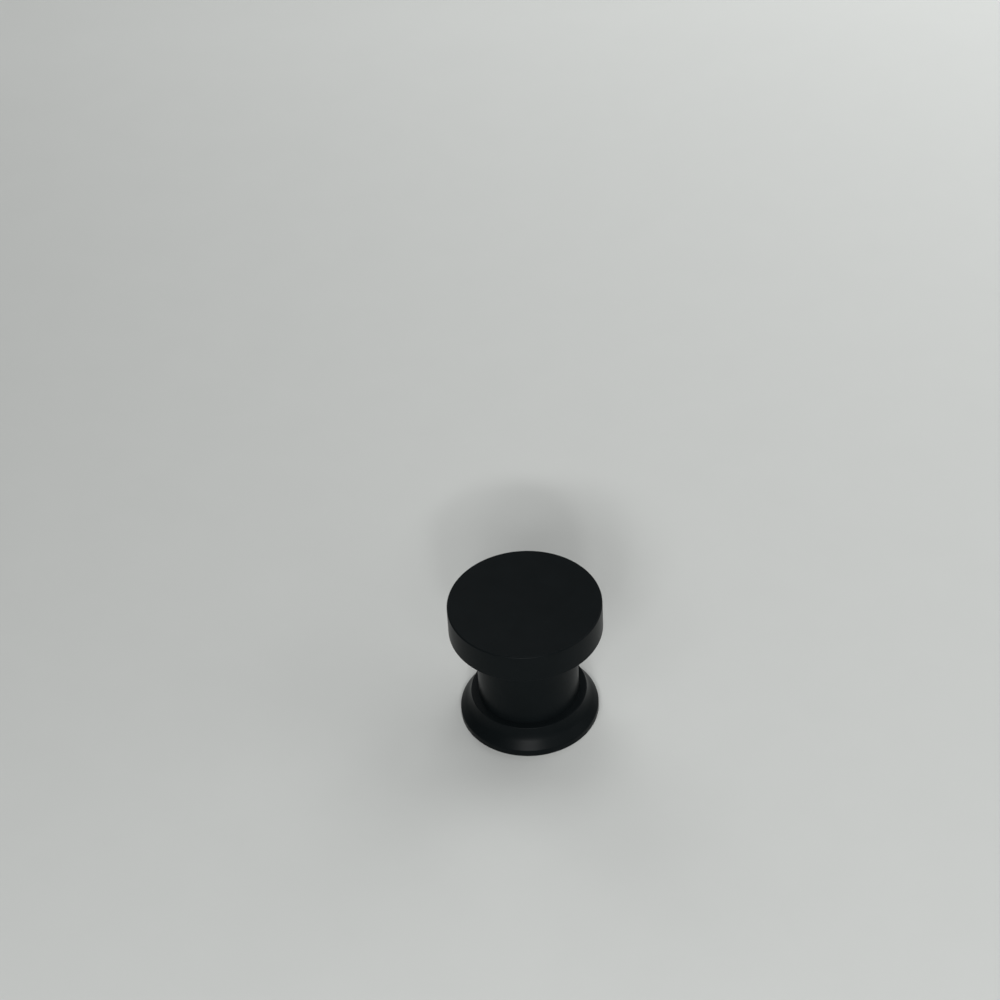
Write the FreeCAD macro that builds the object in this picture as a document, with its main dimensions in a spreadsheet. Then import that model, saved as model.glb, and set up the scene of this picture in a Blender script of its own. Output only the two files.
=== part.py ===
# Cabinet knob with a flat round head, a thick straight neck and a flared base.
# It is one piece, cast and turned about Z, with a tapping hole for the screw in its base.
# Millimetres. The base's face lies at Z = 0 with its centre at the origin, and the head is at the top.

import FreeCAD
import Part

import math
import os

import Sketcher
from FreeCAD import Vector

PARTS_FOLDER = "parts"
NODE = "knob"

# Each size has an alias, its value in millimetres or degrees, and what it measures.
SIZES = [
    ("projection", 28.3, "base face to the top of the head"),
    ("head_diameter", 30.0, "outside of the head"),
    ("head_thickness", 6.2, "side wall of the head with both its edges"),
    ("head_top_round", 0.3, "radius of the head's upper edge"),
    ("head_under_break", 0.2, "chamfer on the head's lower edge"),
    ("neck_diameter", 19.8, "straight neck between the head and the base"),
    ("neck_top_fillet", 0.6, "radius where the neck meets the head"),
    ("shoulder_width", 1.5, "flat ring round the foot of the neck"),
    ("shoulder_height", 5.5, "base face to the flat ring"),
    ("flare_radius", 7.0, "hollow curve from the shoulder out to the base's edge"),
    ("base_diameter", 27.3, "outside of the base"),
    ("base_edge_height", 1.4, "upright edge of the base"),
    ("base_edge_break", 0.2, "chamfer on the shoulder's and the base's outer edges"),
    ("screw_hole_diameter", 3.3, "tapping size for an M4 screw"),
    ("screw_hole_depth", 14.0, "full width of the hole, from the base face"),
    ("screw_hole_point_angle", 118.0, "angle of the drill's point"),
    ("screw_hole_mouth_diameter", 4.6, "countersink at the base face"),
    ("screw_hole_mouth_angle", 90.0, "angle of the countersink"),
]

# How far an edge may lie from the place where it is looked for.
EDGE_TOLERANCE = 1e-4


def add_sheet(doc):
    """Spreadsheet with the driving sizes, one row each."""
    sheet = doc.addObject("Spreadsheet::Sheet", "sizes")
    for row, (alias, value, note) in enumerate(SIZES, start=1):
        sheet.set(f"A{row}", alias)
        sheet.set(f"B{row}", str(value))
        sheet.set(f"C{row}", note)
        sheet.setAlias(f"B{row}", alias)
    doc.recompute()
    return sheet


def section_corners(sheet):
    """Sharp corners of the half section, each a radius and a height, round from the base's centre."""
    base = sheet.base_diameter / 2
    neck = sheet.neck_diameter / 2
    head = sheet.head_diameter / 2
    top = sheet.projection
    under = top - sheet.head_thickness
    return {
        "base_centre": (0.0, 0.0),
        "base_foot": (base, 0.0),
        "base_rim": (base, sheet.base_edge_height),
        "shoulder_rim": (neck + sheet.shoulder_width, sheet.shoulder_height),
        "neck_foot": (neck, sheet.shoulder_height),
        "neck_top": (neck, under),
        "head_foot": (head, under),
        "head_rim": (head, top),
        "head_centre": (0.0, top),
    }


def add_sketch(body, name, role):
    """Empty sketch on the body's own origin plane with that role."""
    plane = next(feature for feature in body.Origin.OriginFeatures if feature.Role == role)
    sketch = body.newObject("Sketcher::SketchObject", name)
    sketch.AttachmentSupport = [(plane, "")]
    sketch.MapMode = "FlatFace"
    return sketch


def flare_curve(shoulder, rim, radius):
    """Hollow arc from the shoulder's rim down to the base's."""
    start = Vector(*shoulder, 0)
    end = Vector(*rim, 0)
    chord = end - start
    outwards = Vector(-chord.y, chord.x, 0).normalize()
    centre = (start + end) / 2 + outwards * math.sqrt(radius**2 - (chord.Length / 2) ** 2)
    circle = Part.Circle(centre, Vector(0, 0, 1), radius)
    return Part.ArcOfCircle(circle, circle.parameter(start), circle.parameter(end))


def add_section(body, sheet):
    """Half section of the knob: each side runs from one corner to the next, and the last closes it."""
    sketch = add_sketch(body, "half_section", "XZ_Plane")
    corners = section_corners(sheet)
    names = list(corners)
    side = {name: number for number, name in enumerate(names)}
    # A sketch's arcs all turn to the left, so the hollow one runs against the other sides.
    ends = {name: (2, 1) if name == "base_rim" else (1, 2) for name in names}
    origin = (-1, 1)

    for name, following in zip(names, names[1:] + names[:1]):
        if name == "base_rim":
            line = flare_curve(corners[following], corners[name], sheet.flare_radius)
        else:
            line = Part.LineSegment(Vector(*corners[name], 0), Vector(*corners[following], 0))
        sketch.addGeometry(line, False)
    for name, following in zip(names, names[1:] + names[:1]):
        meeting = (side[name], ends[name][1], side[following], ends[following][0])
        sketch.addConstraint(Sketcher.Constraint("Coincident", *meeting))
    sketch.addConstraint(Sketcher.Constraint("Coincident", side["base_centre"], 1, *origin))
    for name in ("base_centre", "shoulder_rim", "neck_top", "head_rim"):
        sketch.addConstraint(Sketcher.Constraint("Horizontal", side[name]))
    for name in ("base_foot", "neck_foot", "head_foot", "head_centre"):
        sketch.addConstraint(Sketcher.Constraint("Vertical", side[name]))

    def drive(name, kind, first, second, formula):
        """Distance between two points, bound to the sheet."""
        axis = 0 if kind == "DistanceX" else 1
        value = corners[second][axis] - corners[first][axis]
        points = (side[first], ends[first][0], side[second], ends[second][0])
        constraint = Sketcher.Constraint(kind, *points, value)
        bind(name, constraint, formula)

    def bind(name, constraint, formula):
        index = sketch.addConstraint(constraint)
        sketch.renameConstraint(index, name)
        sketch.setExpression(f"Constraints.{name}", formula)

    drive("base_radius", "DistanceX", "base_centre", "base_foot", "sizes.base_diameter / 2")
    drive("base_edge_height", "DistanceY", "base_foot", "base_rim", "sizes.base_edge_height")
    drive("shoulder_height", "DistanceY", "base_centre", "neck_foot", "sizes.shoulder_height")
    drive("shoulder_width", "DistanceX", "neck_foot", "shoulder_rim", "sizes.shoulder_width")
    drive("neck_radius", "DistanceX", "base_centre", "neck_foot", "sizes.neck_diameter / 2")
    drive("head_radius", "DistanceX", "base_centre", "head_foot", "sizes.head_diameter / 2")
    drive("head_thickness", "DistanceY", "head_foot", "head_rim", "sizes.head_thickness")
    drive("projection", "DistanceY", "base_centre", "head_centre", "sizes.projection")
    flare = Sketcher.Constraint("Radius", side["base_rim"], sheet.flare_radius)
    bind("flare_radius", flare, "sizes.flare_radius")
    return sketch


def add_turned_form(body, section):
    """The section turned once about the knob's axis."""
    turned = body.newObject("PartDesign::Revolution", "turned_form")
    turned.Profile = section
    turned.ReferenceAxis = (section, ["V_Axis"])
    turned.Angle = 360
    return turned


def ring_edge(shape, place):
    """Name of the shape's circular edge with this radius at this height."""
    radius, height = place
    for number, edge in enumerate(shape.Edges, start=1):
        curve = edge.Curve
        if not isinstance(curve, Part.Circle):
            continue
        apart = max(abs(curve.Radius - radius), abs(curve.Center.z - height))
        if apart < EDGE_TOLERANCE:
            return f"Edge{number}"
    raise ValueError(f"no ring of radius {radius} at height {height}")


def dress_edges(body, sheet, name, corner_names):
    """Round, fillet or break the rings at those corners of the section, by the size with that name."""
    body.Document.recompute()
    carrier = body.Tip
    corners = section_corners(sheet)
    edges = [ring_edge(carrier.Shape, corners[corner]) for corner in corner_names]
    broken = name.endswith("break")
    dressing = body.newObject("PartDesign::Chamfer" if broken else "PartDesign::Fillet", name)
    dressing.Base = (carrier, edges)
    dressing.setExpression("Size" if broken else "Radius", f"sizes.{name}")
    return dressing


def add_screw_hole(body, sheet):
    """Drilled and countersunk blind hole up the axis from the base's face."""
    place = add_sketch(body, "screw_hole_place", "XY_Plane")
    circle = Part.Circle(Vector(0, 0, 0), Vector(0, 0, 1), sheet.screw_hole_diameter / 2)
    place.addGeometry(circle, False)
    place.addConstraint(Sketcher.Constraint("Coincident", 0, 3, -1, 1))
    index = place.addConstraint(Sketcher.Constraint("Diameter", 0, sheet.screw_hole_diameter))
    place.setExpression(f"Constraints[{index}]", "sizes.screw_hole_diameter")
    body.Document.recompute()

    hole = body.newObject("PartDesign::Hole", "screw_hole")
    hole.Profile = place
    hole.Reversed = True
    hole.DepthType = "Dimension"
    hole.DrillPoint = "Angled"
    hole.HoleCutType = "Countersink"
    hole.HoleCutCustomValues = True
    hole.setExpression("Diameter", "sizes.screw_hole_diameter")
    hole.setExpression("Depth", "sizes.screw_hole_depth")
    hole.setExpression("DrillPointAngle", "sizes.screw_hole_point_angle")
    hole.setExpression("HoleCutDiameter", "sizes.screw_hole_mouth_diameter")
    hole.setExpression("HoleCutCountersinkAngle", "sizes.screw_hole_mouth_angle")
    return hole


def add_knob(doc, sheet):
    """The whole knob, one body."""
    body = doc.addObject("PartDesign::Body", NODE)
    body.Label = NODE
    section = add_section(body, sheet)
    add_turned_form(body, section)
    dress_edges(body, sheet, "head_top_round", ["head_rim"])
    dress_edges(body, sheet, "head_under_break", ["head_foot"])
    dress_edges(body, sheet, "neck_top_fillet", ["neck_top"])
    dress_edges(body, sheet, "base_edge_break", ["base_foot", "base_rim", "shoulder_rim"])
    doc.recompute()
    undrilled = body.Shape.Volume
    add_screw_hole(body, sheet)
    doc.recompute()
    drilled = undrilled - body.Shape.Volume
    straight_hole = math.pi * (sheet.screw_hole_diameter / 2) ** 2 * sheet.screw_hole_depth
    if drilled < straight_hole:
        raise ValueError("the screw hole removes too little")
    return body


def check(doc, body):
    """Stop if anything failed to compute, or the body isn't one sound solid."""
    for item in doc.Objects:
        if {"Invalid", "Error"} & set(item.State):
            raise ValueError(f"{item.Name} failed: {item.State}")
    shape = body.Shape
    if shape.isNull() or not shape.isValid() or len(shape.Solids) != 1:
        raise ValueError(f"{body.Label} isn't one valid solid")


def main():
    doc = FreeCAD.newDocument("cabinet_knob")
    sheet = add_sheet(doc)
    body = add_knob(doc, sheet)
    check(doc, body)
    os.makedirs(PARTS_FOLDER, exist_ok=True)
    body.Shape.exportStep(os.path.join(PARTS_FOLDER, f"{body.Label}.step"))
    box = body.Shape.optimalBoundingBox()
    print(f"{body.Label}: {box.XLength:.2f} x {box.YLength:.2f} x {box.ZLength:.2f} mm")
    print(f"volume {body.Shape.Volume:.1f} cubic mm")


main()
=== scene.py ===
"""Matt black cabinet knob on a pale floor, in soft studio light."""

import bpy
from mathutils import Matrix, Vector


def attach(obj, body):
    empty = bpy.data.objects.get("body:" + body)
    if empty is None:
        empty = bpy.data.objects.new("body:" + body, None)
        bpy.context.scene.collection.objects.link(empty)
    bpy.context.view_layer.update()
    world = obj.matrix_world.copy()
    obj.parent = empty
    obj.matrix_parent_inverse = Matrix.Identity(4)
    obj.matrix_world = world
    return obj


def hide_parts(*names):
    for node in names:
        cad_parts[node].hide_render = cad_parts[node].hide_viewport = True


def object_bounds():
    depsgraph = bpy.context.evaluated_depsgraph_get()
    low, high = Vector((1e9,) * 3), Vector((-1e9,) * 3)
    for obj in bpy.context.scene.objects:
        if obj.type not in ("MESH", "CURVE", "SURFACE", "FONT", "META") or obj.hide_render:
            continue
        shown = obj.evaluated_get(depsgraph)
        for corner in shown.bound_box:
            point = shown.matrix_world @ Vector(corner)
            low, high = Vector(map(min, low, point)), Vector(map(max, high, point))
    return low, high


bl_info = {
    "name": "Cabinet Knob",
    "version": (1, 0, 0),
    "blender": (4, 5, 0),
    "location": "3D View > Sidebar > Cabinet Knob",
    "description": "Turned cabinet knob with a tapped screw hole, and the stage it stands on",
    "category": "Add Mesh",
}

import math

import bmesh
import bpy
from bpy.props import FloatProperty, FloatVectorProperty, IntProperty, PointerProperty
from mathutils import Matrix, Vector

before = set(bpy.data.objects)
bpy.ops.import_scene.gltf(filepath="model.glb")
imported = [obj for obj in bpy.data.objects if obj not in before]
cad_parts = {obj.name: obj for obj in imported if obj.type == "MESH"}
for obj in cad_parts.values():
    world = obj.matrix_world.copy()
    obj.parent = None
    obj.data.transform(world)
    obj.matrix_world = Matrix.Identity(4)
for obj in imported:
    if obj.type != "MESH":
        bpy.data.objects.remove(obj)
CAD_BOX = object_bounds()

NODE = "knob"
BODY = "root"
MM = 0.001
LOWEST, HIGHEST = CAD_BOX

# How near a point lies to the ring or face that is looked for, in metres.
NEAR = 2e-6


class KnobSizes(bpy.types.PropertyGroup):
    """Sizes of the turned form: the solid's, but for the flare's straight foot and finer edge rounds."""

    projection: FloatProperty(
        name="Projection", description="Base face to the top of the head",
        default=HIGHEST.z, unit="LENGTH", precision=4,
    )
    head_diameter: FloatProperty(
        name="Head diameter", description="Outside of the head",
        default=round(HIGHEST.x - LOWEST.x, 4), unit="LENGTH", precision=4,
    )
    head_thickness: FloatProperty(
        name="Head thickness", description="Side wall of the head with both its edges",
        default=6.2 * MM, unit="LENGTH", precision=4,
    )
    head_top_round: FloatProperty(
        name="Head top round", description="Radius of the head's upper edge",
        default=0.3 * MM, unit="LENGTH", precision=5,
    )
    head_under_round: FloatProperty(
        name="Head lower round", description="Radius of the head's lower edge",
        default=0.1 * MM, unit="LENGTH", precision=5,
    )
    neck_diameter: FloatProperty(
        name="Neck diameter", description="Straight neck between the head and the base",
        default=19.8 * MM, unit="LENGTH", precision=4,
    )
    neck_top_fillet: FloatProperty(
        name="Neck top fillet", description="Radius where the neck meets the head",
        default=0.6 * MM, unit="LENGTH", precision=5,
    )
    shoulder_width: FloatProperty(
        name="Shoulder width", description="Flat ring round the foot of the neck",
        default=1.5 * MM, unit="LENGTH", precision=4,
    )
    shoulder_height: FloatProperty(
        name="Shoulder height", description="Base face to the flat ring",
        default=5.5 * MM, unit="LENGTH", precision=4,
    )
    flare_foot_width: FloatProperty(
        name="Flare foot width",
        description="Straight foot of the flare, inwards from the base's edge",
        default=1.15 * MM, unit="LENGTH", precision=5,
    )
    flare_foot_slope: FloatProperty(
        name="Flare foot slope", description="How steeply the flare's straight foot rises",
        default=math.radians(53), subtype="ANGLE", unit="ROTATION",
    )
    base_diameter: FloatProperty(
        name="Base diameter", description="Outside of the base",
        default=27.3 * MM, unit="LENGTH", precision=4,
    )
    base_edge_height: FloatProperty(
        name="Base edge height", description="Upright edge of the base",
        default=1.4 * MM, unit="LENGTH", precision=4,
    )
    base_edge_round: FloatProperty(
        name="Base edge round", description="Radius of the shoulder's and the base's outer edges",
        default=0.15 * MM, unit="LENGTH", precision=5,
    )
    segments: IntProperty(
        name="Segments", description="Flats round the turned form",
        default=256, min=32, max=512,
    )


class ScrewHoleSizes(bpy.types.PropertyGroup):
    """Sizes of the tapped hole in the base."""

    hole_diameter: FloatProperty(
        name="Hole diameter", description="Tapping size of the hole",
        default=3.3 * MM, unit="LENGTH", precision=5,
    )
    hole_depth: FloatProperty(
        name="Hole depth", description="Full width of the hole, from the base face",
        default=14.0 * MM, unit="LENGTH", precision=4,
    )
    point_angle: FloatProperty(
        name="Point angle", description="Angle of the drill's point",
        default=math.radians(118), subtype="ANGLE", unit="ROTATION",
    )
    mouth_diameter: FloatProperty(
        name="Mouth diameter", description="Countersink at the base face",
        default=4.6 * MM, unit="LENGTH", precision=5,
    )
    thread_diameter: FloatProperty(
        name="Thread diameter", description="Outside of the screw's thread",
        default=4.0 * MM, unit="LENGTH", precision=5,
    )
    thread_pitch: FloatProperty(
        name="Thread pitch", description="Rise of the thread in one turn",
        default=0.7 * MM, unit="LENGTH", precision=5,
    )
    thread_turns: IntProperty(
        name="Thread turns", description="Turns that the tap cuts",
        default=18, min=1, max=24,
    )


class KnobFinish(bpy.types.PropertyGroup):
    """Colours and surface of the knob's finishes."""

    coat_colour: FloatVectorProperty(
        name="Coat colour", description="Matt black powder coat",
        default=(0.0046, 0.0062, 0.0068), subtype="COLOR", min=0, max=1,
    )
    coat_roughness: FloatProperty(
        name="Coat roughness", description="Dullness of the powder coat",
        default=0.345, subtype="FACTOR", min=0, max=1,
    )
    coat_reflection: FloatProperty(
        name="Coat reflection", description="Strength of the powder coat's surface reflection",
        default=0.044, subtype="FACTOR", min=0, max=1,
    )
    grain_size: FloatProperty(
        name="Grain size", description="Width of the ripples in the powder coat",
        default=0.55 * MM, unit="LENGTH", precision=5,
    )
    metal_colour: FloatVectorProperty(
        name="Metal colour", description="Bare cast zinc alloy where the thread is cut",
        default=(0.50, 0.50, 0.49), subtype="COLOR", min=0, max=1,
    )


class StageSettings(bpy.types.PropertyGroup):
    """Floor, light and camera."""

    floor_size: FloatProperty(
        name="Floor size", description="Width of the floor",
        default=6.0, unit="LENGTH",
    )
    floor_colour: FloatVectorProperty(
        name="Floor colour", description="Pale grey floor",
        default=(0.60, 0.615, 0.60), subtype="COLOR", min=0, max=1,
    )
    lamp_distance: FloatProperty(
        name="Lamp distance", description="Each lamp's distance from the knob",
        default=1.0, unit="LENGTH",
    )
    camera_place: FloatVectorProperty(
        name="Camera place", description="Where the camera stands",
        default=(-0.00350, -0.41747, 0.42645), subtype="TRANSLATION", unit="LENGTH", precision=5,
    )
    camera_dip: FloatProperty(
        name="Camera dip", description="How far the camera looks down from the horizon",
        default=math.radians(41.65), subtype="ANGLE", unit="ROTATION",
    )
    camera_roll: FloatProperty(
        name="Camera roll", description="How far the camera is turned about its view",
        default=math.radians(-3.44), subtype="ANGLE", unit="ROTATION",
    )
    camera_lens: FloatProperty(
        name="Camera lens", description="Focal length in millimetres",
        default=108.0, min=1,
    )


class Value:
    """A number's socket. Arithmetic on it adds the Math nodes that it stands for."""

    def __init__(self, nodes, socket):
        self.nodes = nodes
        self.socket = socket

    def maths(self, operation, first, second):
        node = self.nodes.add("ShaderNodeMath", {"operation": operation}, {0: first, 1: second})
        return node.value()

    def __add__(self, other):
        return self.maths("ADD", self, other)

    __radd__ = __add__

    def __sub__(self, other):
        return self.maths("SUBTRACT", self, other)

    def __rsub__(self, other):
        return self.maths("SUBTRACT", other, self)

    def __mul__(self, other):
        return self.maths("MULTIPLY", self, other)

    __rmul__ = __mul__


class AddedNode:
    """A node whose outputs are read as values."""

    def __init__(self, nodes, node):
        self.nodes = nodes
        self.node = node

    def value(self, output=0):
        return Value(self.nodes, self.node.outputs[output])


class Nodes:
    """The nodes of one material or world."""

    def __init__(self, owner):
        owner.use_nodes = True
        self.tree = owner.node_tree

    def feed(self, socket, value):
        """Link the value to the socket, or set it there."""
        if isinstance(value, Value):
            self.tree.links.new(value.socket, socket)
        elif socket.type == "RGBA":
            socket.default_value = (*value, 1.0)
        else:
            socket.default_value = value

    def add(self, kind, settings=None, inputs=None):
        """A new node: its settings are set first, and then its sockets."""
        node = self.tree.nodes.new(kind)
        for name, setting in (settings or {}).items():
            setattr(node, name, setting)
        for name, value in (inputs or {}).items():
            self.feed(node.inputs[name], value)
        return AddedNode(self, node)

    def mix_colours(self, share, first, second):
        """The first colour, with that share of the second."""
        mixed = self.add("ShaderNodeMix", {"data_type": "RGBA"}, {0: share, 6: first, 7: second})
        return mixed.value(2)

    def noise(self, place, size, detail=2.0):
        """Cloudy pattern from 0 to 1 whose patches are about as wide as size."""
        inputs = {"Vector": place, "Scale": 1 / size, "Detail": detail}
        return self.add("ShaderNodeTexNoise", None, inputs).value("Fac")

    def own_place(self):
        """The place on the piece, in metres."""
        return self.add("ShaderNodeTexCoord").value("Object")

    def spans(self, place, reach, ends):
        """How far the place lies along X and along Y: from -ends to ends within that reach."""
        apart = self.add("ShaderNodeSeparateXYZ", None, {"Vector": place})
        limits = {"From Min": -reach, "From Max": reach, "To Min": -ends, "To Max": ends}
        return [
            self.add("ShaderNodeMapRange", None, {"Value": apart.value(axis), **limits}).value()
            for axis in ("X", "Y")
        ]

    def surface(self, values):
        """Feed the material's own surface shader."""
        shader = self.tree.nodes["Principled BSDF"]
        for name, value in values.items():
            self.feed(shader.inputs[name], value)


def coat_material(finish):
    """Matt black powder coat: nearly even, with a fine ripple and a slight cloudiness."""
    material = bpy.data.materials.new("matt_black_coat")
    nodes = Nodes(material)
    place = nodes.own_place()
    ripple = nodes.noise(place, finish.grain_size, 2.0)
    speck = nodes.noise(place, finish.grain_size / 4, 1.0)
    cloud = nodes.noise(place, 4 * MM, 3.0)
    dark = [0.85 * shade for shade in finish.coat_colour]
    light = [1.15 * shade for shade in finish.coat_colour]
    bump = nodes.add(
        "ShaderNodeBump", None, {"Strength": 1.0, "Distance": 6e-6, "Height": ripple + 0.3 * speck}
    )
    nodes.surface({
        "Base Color": nodes.mix_colours(cloud, dark, light),
        "Roughness": finish.coat_roughness - 0.03 + 0.06 * cloud,
        "Specular IOR Level": finish.coat_reflection,
        "Normal": bump.value(),
    })
    return material


def metal_material(finish):
    """Bare cast zinc alloy, cut by the drill and the tap."""
    material = bpy.data.materials.new("bare_zinc_alloy")
    nodes = Nodes(material)
    place = nodes.own_place()
    stain = nodes.noise(place, 0.8 * MM, 3.0)
    scratch = nodes.noise(place, 0.12 * MM, 2.0)
    dull = [0.75 * shade for shade in finish.metal_colour]
    bump = nodes.add("ShaderNodeBump", None, {"Strength": 1.0, "Distance": 4e-6, "Height": scratch})
    nodes.surface({
        "Base Color": nodes.mix_colours(stain, finish.metal_colour, dull),
        "Metallic": 1.0,
        "Roughness": 0.30 + 0.15 * stain,
        "Normal": bump.value(),
    })
    return material


def start_piece(name):
    """Name the primitive that was just added, and open it in edit mode with nothing selected."""
    piece = bpy.context.object
    piece.name = name
    piece.data.name = name
    bpy.ops.object.mode_set(mode="EDIT")
    bpy.ops.mesh.select_all(action="DESELECT")
    return piece


def cap_at(piece, height):
    """Select the flat face that closes the form at that height."""
    bpy.ops.mesh.select_mode(type="FACE")
    bpy.ops.mesh.select_all(action="DESELECT")
    mesh = bmesh.from_edit_mesh(piece.data)
    caps = [
        face for face in mesh.faces
        if all(abs(corner.co.z - height) < NEAR for corner in face.verts)
    ]
    widest = max(caps, key=lambda face: len(face.verts))
    widest.select_set(True)
    bmesh.update_edit_mesh(piece.data)


def step_to(start, end):
    """Extrude the selected cap from one radius and height to the next."""
    radius, height = start
    next_radius, next_height = end
    bpy.ops.mesh.extrude_region_move(
        TRANSFORM_OT_translate={"value": (0, 0, next_height - height)}
    )
    if next_radius != radius:
        share = next_radius / radius
        bpy.ops.transform.resize(value=(share, share, 1), center_override=(0, 0, next_height))


def round_rings(piece, rings, radius, segments):
    """Round the rings, each a radius and a height, with an arc of that radius."""
    bpy.ops.mesh.select_mode(type="EDGE")
    bpy.ops.mesh.select_all(action="DESELECT")
    mesh = bmesh.from_edit_mesh(piece.data)
    for edge in mesh.edges:
        for ring_radius, height in rings:
            if all(
                abs(end.co.z - height) < NEAR and abs(end.co.xy.length - ring_radius) < NEAR
                for end in edge.verts
            ):
                edge.select_set(True)
    bmesh.update_edit_mesh(piece.data)
    bpy.ops.mesh.bevel(offset=radius, segments=segments, profile=0.5, affect="EDGES")


def flare_points(rim, shoulder, foot_width, foot_slope, steps):
    """Points up from the base's rim: the top of the flare's straight foot, then its hollow arc."""
    along = Vector((-math.cos(foot_slope), math.sin(foot_slope)))
    foot_top = Vector(rim) + along * foot_width / math.cos(foot_slope)
    chord = Vector(shoulder) - foot_top
    half_turn = along.angle(chord)
    outwards = Vector((along.y, -along.x))
    spoke = -outwards * chord.length / (2 * math.sin(half_turn))
    turns = [Matrix.Rotation(-2 * half_turn * step / steps, 2) for step in range(steps + 1)]
    return [tuple(foot_top - spoke + turn @ spoke) for turn in turns]


def turn_body(sizes, hole):
    """The knob's turned form and drilled hole, stepped up from a disc the size of the base's edge."""
    base, neck, head = (
        diameter / 2 for diameter in (sizes.base_diameter, sizes.neck_diameter, sizes.head_diameter)
    )
    under = sizes.projection - sizes.head_thickness
    rim = (base, sizes.base_edge_height)
    shoulder = (neck + sizes.shoulder_width, sizes.shoulder_height)
    neck_foot = (neck, sizes.shoulder_height)
    neck_top = (neck, under)
    head_foot = (head, under)
    head_rim = (head, sizes.projection)

    bpy.ops.mesh.primitive_cylinder_add(
        vertices=sizes.segments, radius=base, depth=sizes.base_edge_height,
        end_fill_type="NGON", location=(0, 0, sizes.base_edge_height / 2),
    )
    bpy.ops.object.transform_apply(location=True, rotation=True, scale=True)
    knob = start_piece("knob_body")
    cap_at(knob, sizes.base_edge_height)
    outline = [rim]
    outline += flare_points(rim, shoulder, sizes.flare_foot_width, sizes.flare_foot_slope, 18)
    outline += [neck_foot, neck_top, head_foot, head_rim]
    for start, end in zip(outline, outline[1:]):
        step_to(start, end)

    drill, mouth = hole.hole_diameter / 2, hole.mouth_diameter / 2
    point = hole.hole_depth + drill / math.tan(hole.point_angle / 2)
    cap_at(knob, 0.0)
    bore = [(base, 0.0), (mouth, 0.0), (drill, mouth - drill), (drill, hole.hole_depth)]
    bore += [(drill / 50, point)]
    for start, end in zip(bore, bore[1:]):
        step_to(start, end)
    bpy.ops.mesh.merge(type="CENTER")

    round_rings(knob, [head_rim], sizes.head_top_round, 8)
    round_rings(knob, [head_foot], sizes.head_under_round, 5)
    round_rings(knob, [neck_top], sizes.neck_top_fillet, 6)
    round_rings(knob, [(base, 0.0), rim, shoulder], sizes.base_edge_round, 4)
    bpy.ops.mesh.select_all(action="SELECT")
    bpy.ops.mesh.normals_make_consistent(inside=False)
    bpy.ops.object.mode_set(mode="OBJECT")
    return knob


def tap_cutter(hole):
    """Helical ridge with the section of the screw's thread, wound up the hole's wall."""
    outside = hole.thread_diameter / 2
    inside = hole.hole_diameter / 2 - 0.1 * MM
    crest = hole.thread_pitch / 16
    root = crest + (outside - inside) * math.tan(math.radians(30))
    start = -0.55 * hole.thread_pitch

    bpy.ops.mesh.primitive_plane_add(size=2, location=(0, 0, 0), rotation=(math.radians(90), 0, 0))
    bpy.ops.object.transform_apply(location=True, rotation=True, scale=True)
    tap = start_piece("tap_cutter")
    mesh = bmesh.from_edit_mesh(tap.data)
    for corner in mesh.verts:
        reach, rise = (outside, crest) if corner.co.x > 0 else (inside, root)
        corner.co = (reach, 0, start + math.copysign(rise, corner.co.z))
    bmesh.update_edit_mesh(tap.data)
    bpy.ops.object.mode_set(mode="OBJECT")
    winding = tap.modifiers.new("winding", "SCREW")
    winding.axis = "Z"
    winding.angle = math.radians(360)
    winding.screw_offset = hole.thread_pitch
    winding.iterations = hole.thread_turns
    winding.steps = 48
    winding.render_steps = 48
    bpy.ops.object.modifier_apply(modifier=winding.name)
    bpy.ops.object.mode_set(mode="EDIT")
    bpy.ops.mesh.select_all(action="SELECT")
    bpy.ops.mesh.remove_doubles(threshold=NEAR)
    bpy.ops.mesh.fill_holes(sides=4)
    bpy.ops.mesh.normals_make_consistent(inside=False)
    bpy.ops.object.mode_set(mode="OBJECT")
    return tap


def cut_thread(knob, tap):
    """Cut the tap's path out of the knob, and take the tap away."""
    select_only(knob)
    cut = knob.modifiers.new("thread", "BOOLEAN")
    cut.operation = "DIFFERENCE"
    cut.solver = "EXACT"
    cut.material_mode = "TRANSFER"
    cut.object = tap
    bpy.ops.object.modifier_apply(modifier=cut.name)
    bpy.data.objects.remove(tap)


def select_only(piece):
    bpy.ops.object.select_all(action="DESELECT")
    piece.select_set(True)
    bpy.context.view_layer.objects.active = piece


class KNOB_OT_body(bpy.types.Operator):
    """Add the knob with its tapped hole and its finishes"""

    bl_idname = "cabinet_knob.body"
    bl_label = "Add Knob"
    bl_options = {"REGISTER", "UNDO"}

    def execute(self, context):
        scene = context.scene
        bpy.ops.object.select_all(action="DESELECT")
        knob = turn_body(scene.knob_sizes, scene.knob_screw_hole)
        coat = coat_material(scene.knob_finish)
        metal = metal_material(scene.knob_finish)
        knob.data.materials.append(coat)
        bpy.ops.object.select_all(action="DESELECT")
        tap = tap_cutter(scene.knob_screw_hole)
        tap.data.materials.append(metal)
        cut_thread(knob, tap)
        self.bare_the_bore(knob, scene.knob_screw_hole)
        self.smooth(knob)
        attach(knob, BODY)
        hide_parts(NODE)
        return {"FINISHED"}

    def bare_the_bore(self, knob, hole):
        """Leave the hole's own wall and point in bare metal, as the thread is."""
        metal = knob.data.materials.find("bare_zinc_alloy")
        wall = hole.thread_diameter / 2
        for face in knob.data.polygons:
            deep = face.center.z > (hole.mouth_diameter - hole.hole_diameter) / 2
            if deep and face.center.z < hole.hole_depth * 1.2 and face.center.xy.length < wall:
                face.material_index = metal

    def smooth(self, knob):
        """Shade the curves smoothly, and keep the flats flat and the corners sharp."""
        select_only(knob)
        bpy.ops.object.shade_smooth_by_angle(angle=math.radians(28))
        weights = knob.modifiers.new("flats", "WEIGHTED_NORMAL")
        weights.keep_sharp = True
        bpy.ops.object.modifier_apply(modifier=weights.name)


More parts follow.
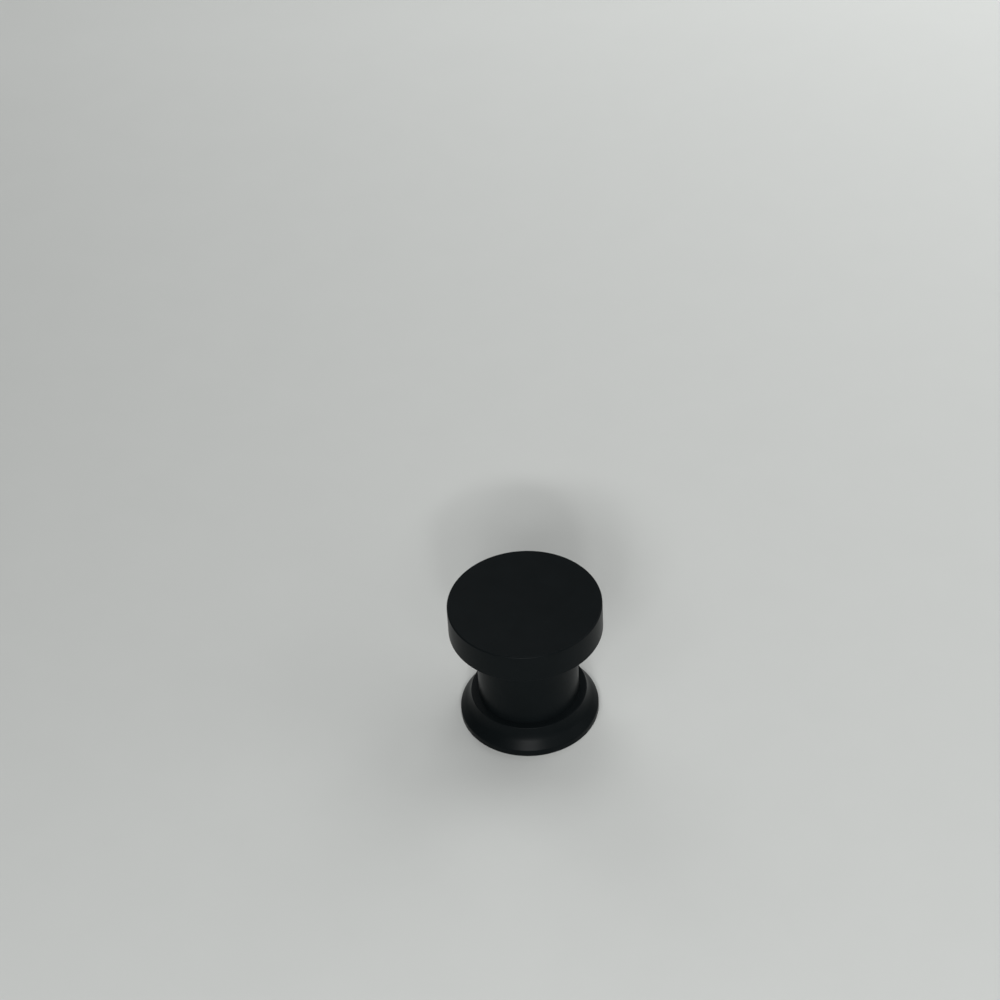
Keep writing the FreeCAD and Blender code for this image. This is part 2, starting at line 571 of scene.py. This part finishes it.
# Each lamp: name, direction round the knob from the camera's side, height as an angle, width and
# height of its face in metres, and how brightly it lights a surface that faces it.
LAMPS = (
    ("key", 3, 29, 0.09, 0.05, 0.21),
    ("key_left", -7, 29, 0.14, 0.06, 0.16),
    ("key_right", 12, 34, 0.16, 0.14, 0.08),
    ("front_left", 345, 33, 0.22, 0.20, 0.24),
    ("above_left", 322, 46, 0.35, 0.35, 0.08),
    ("front_right", 42, 28, 0.5, 0.5, 0.08),
    ("right", 80, 28, 0.5, 0.5, 0.15),
    ("above_right", 120, 48, 0.5, 0.5, 0.15),
    ("back_right", 140, 28, 0.5, 0.5, 0.12),
    ("back_left", 205, 32, 0.5, 0.5, 0.15),
    ("above_back", 180, 66, 0.5, 0.5, 0.19),
)


# Painted shade and light on the floor, set into its colour by place: its even part, and its rise across,
# across and back together, and back.
# Places on it count in tenths of a metre.
PAINTED_SHADE_EVEN, PAINTED_SHADE_ACROSS, PAINTED_SHADE_SKEW, PAINTED_SHADE_BACK = 0.99, 0.061, 0.038, 0.034
FLOOR_MOTTLE = 0.03
# The painted shade's range, from a shaded to a lit copy of the floor's colour, and the line that turns a
# shade into a share of that range.
FLOOR_PAINTED_DARKEST, FLOOR_PAINTED_LIGHTEST = 0.8, 1.6
SHARE_RISE, SHARE_START = 1.25, 1.02
# Painted light: where the floor begins to glow for the camera alone, where that is full, and how bright
# it gets.
GLOW_START, GLOW_END, GLOW = 0.35, 1.6, 0.5
BLACK, PALE = (0.0, 0.0, 0.0), (0.95, 1.0, 0.98)


class KNOB_OT_stage(bpy.types.Operator):
    """Add the floor, the lamps, the surroundings and the camera"""

    bl_idname = "cabinet_knob.stage"
    bl_label = "Add Stage"
    bl_options = {"REGISTER", "UNDO"}

    def execute(self, context):
        stage = context.scene.knob_stage
        self.add_floor(stage)
        for lamp in LAMPS:
            self.add_lamp(stage, *lamp)
        self.add_surroundings(context.scene)
        self.add_camera(context.scene, stage)
        context.scene.view_settings.view_transform = "Standard"
        return {"FINISHED"}

    def add_floor(self, stage):
        bpy.ops.object.select_all(action="DESELECT")
        bpy.ops.mesh.primitive_plane_add(size=stage.floor_size, location=(0, 0, 0))
        floor = bpy.context.object
        floor.name = "floor"
        material = bpy.data.materials.new("pale_floor")
        nodes = Nodes(material)
        place = nodes.own_place()
        mottle = nodes.noise(place, 12 * MM, 4.0)
        across, back = nodes.spans(place, 0.25, 2.5)
        # Painted shade: the floor's colour is mixed by place between a shaded and a lit copy of it, with
        # a little random mottle.
        shade = PAINTED_SHADE_EVEN + PAINTED_SHADE_ACROSS * across + PAINTED_SHADE_SKEW * across * back
        shade = shade + PAINTED_SHADE_BACK * back * back
        dark = [FLOOR_PAINTED_DARKEST * part for part in stage.floor_colour]
        light = [FLOOR_PAINTED_LIGHTEST * part for part in stage.floor_colour]
        share = SHARE_RISE * (shade + FLOOR_MOTTLE * mottle) - SHARE_START
        # Painted light: the far floor glows for camera rays only, so it looks paler than the lamps make
        # it.
        away = nodes.add("ShaderNodeVectorMath", {"operation": "LENGTH"}, {0: place}).value("Value")
        limits = {"From Min": GLOW_START, "From Max": GLOW_END, "To Min": 0.0, "To Max": GLOW}
        far = nodes.add(
            "ShaderNodeMapRange", {"interpolation_type": "SMOOTHSTEP"}, {"Value": away, **limits}
        ).value()
        seen = nodes.add("ShaderNodeLightPath").value("Is Camera Ray")
        nodes.surface({
            "Base Color": nodes.mix_colours(share, dark, light),
            "Roughness": 1.0,
            "Specular IOR Level": 0.0,
            "Emission Color": nodes.mix_colours(far * seen, BLACK, PALE),
            "Emission Strength": 1.0,
        })
        floor.data.materials.append(material)

    def add_lamp(self, stage, name, turn, height, width, rise, strength):
        """A rectangular lamp that faces the middle of the knob."""
        turn, height = math.radians(turn), math.radians(height)
        middle = (LOWEST + HIGHEST) / 2
        away = Vector((
            math.cos(height) * math.sin(turn), -math.cos(height) * math.cos(turn), math.sin(height)
        ))
        bpy.ops.object.light_add(type="AREA", location=middle + stage.lamp_distance * away)
        lamp = bpy.context.object
        lamp.name = name
        lamp.rotation_euler = away.to_track_quat("Z", "Y").to_euler()
        lamp.data.shape = "RECTANGLE"
        lamp.data.size = width
        lamp.data.size_y = rise
        lamp.data.energy = strength * (math.pi * stage.lamp_distance) ** 2

    def add_surroundings(self, scene):
        """Pale surroundings, as bright as the floor, that hardly light the knob."""
        world = bpy.data.worlds.new("pale_surroundings")
        scene.world = world
        nodes = Nodes(world)
        seen = nodes.add("ShaderNodeLightPath").value("Is Camera Ray")
        background = nodes.tree.nodes["Background"]
        nodes.feed(background.inputs["Color"], PALE)
        nodes.feed(background.inputs["Strength"], 0.01 + 0.55 * seen)

    def add_camera(self, scene, stage):
        aim = Matrix.Rotation(math.radians(90) - stage.camera_dip, 4, "X")
        roll = Matrix.Rotation(stage.camera_roll, 4, "Z")
        bpy.ops.object.camera_add(location=stage.camera_place)
        camera = bpy.context.object
        camera.name = "camera"
        camera.rotation_euler = (aim @ roll).to_euler()
        camera.data.lens = stage.camera_lens
        scene.camera = camera


class KNOB_PT_sidebar(bpy.types.Panel):
    """Sizes and finishes of the knob, and its stage"""

    bl_idname = "KNOB_PT_sidebar"
    bl_label = "Cabinet Knob"
    bl_space_type = "VIEW_3D"
    bl_region_type = "UI"
    bl_category = "Cabinet Knob"

    def draw(self, context):
        scene = context.scene
        groups = (
            (scene.knob_sizes, None),
            (scene.knob_screw_hole, None),
            (scene.knob_finish, KNOB_OT_body.bl_idname),
            (scene.knob_stage, KNOB_OT_stage.bl_idname),
        )
        for group, operator in groups:
            column = self.layout.column(align=True)
            for name in group.bl_rna.properties.keys():
                if name not in ("rna_type", "name"):
                    column.prop(group, name)
            if operator:
                column.operator(operator)


CLASSES = (
    KnobSizes,
    ScrewHoleSizes,
    KnobFinish,
    StageSettings,
    KNOB_OT_body,
    KNOB_OT_stage,
    KNOB_PT_sidebar,
)

GROUPS = {
    "knob_sizes": KnobSizes,
    "knob_screw_hole": ScrewHoleSizes,
    "knob_finish": KnobFinish,
    "knob_stage": StageSettings,
}


def register():
    for new_class in CLASSES:
        bpy.utils.register_class(new_class)
    for name, group in GROUPS.items():
        setattr(bpy.types.Scene, name, PointerProperty(type=group))


def unregister():
    for name in GROUPS:
        delattr(bpy.types.Scene, name)
    for old_class in reversed(CLASSES):
        bpy.utils.unregister_class(old_class)


def main():
    register()
    bpy.ops.cabinet_knob.body()
    bpy.ops.cabinet_knob.stage()


if __name__ == "__main__":
    main()
